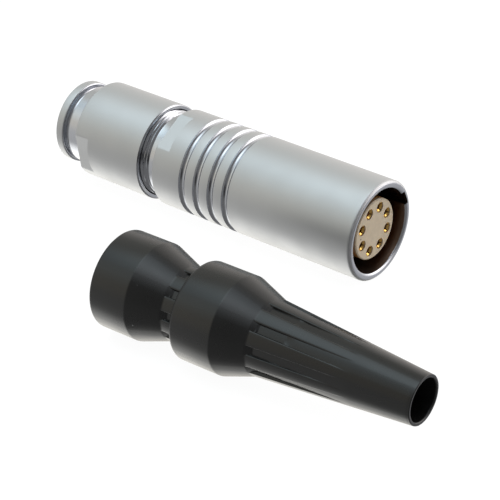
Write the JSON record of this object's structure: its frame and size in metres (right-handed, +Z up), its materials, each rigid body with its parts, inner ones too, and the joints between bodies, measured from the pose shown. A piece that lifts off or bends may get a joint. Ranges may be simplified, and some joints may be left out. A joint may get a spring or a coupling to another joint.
{
  "type": "push pull circular connector",
  "caption": "Cable-mounted round push pull receptacle with slit socket contacts, grip grooves and a screwed back nut, its bend relief boot lying beside it.",
  "frame": {"origin": "middle of the mating face, at the front rim of the shell", "axes": "+X out of the mating face along the connector's axis, +Z up from the surface that it lies on"},
  "size_m": [0.0683, 0.0373, 0.0122],
  "materials": {
    "plated_brass": "matt satin chrome plating on brass",
    "bronze_spring": "nickel-plated bronze",
    "gold_contact": "gold plated",
    "insulator": "moulded, satin",
    "boot": "soft moulding, semi-matt"
  },
  "bodies": {
    "root": {"outer_shell": "plated_brass", "earth_crown": "bronze_spring", "snap_ring": "bronze_spring", "insulator_front": "insulator", "insulator_rear": "insulator", "contact_1": "gold_contact", "contact_2": "gold_contact", "contact_3": "gold_contact", "contact_4": "gold_contact", "contact_5": "gold_contact", "contact_6": "gold_contact", "contact_7": "gold_contact", "contact_8": "gold_contact", "carrier_upper": "plated_brass", "carrier_lower": "plated_brass", "boot": "boot"},
    "clamp": {"shield_ring": "plated_brass", "collet": "plated_brass"},
    "nut": {"back_nut": "plated_brass"}
  },
  "joints": [
    {"name": "clamp_travel", "type": "slide", "parent": "root", "child": "clamp", "axis": [1, 0, 0], "range_m": [-0.0046, 0.0023]},
    {"name": "nut_turn", "type": "hinge", "parent": "clamp", "child": "nut", "pos_m": [-0.0378, 0, 0], "axis": [1, 0, 0], "range_deg": [-3240, 1584]}
  ],
  "couplings": [
    {"joint": "clamp_travel", "follows": "nut_turn", "m_per_rad": 0.000079577}
  ]
}
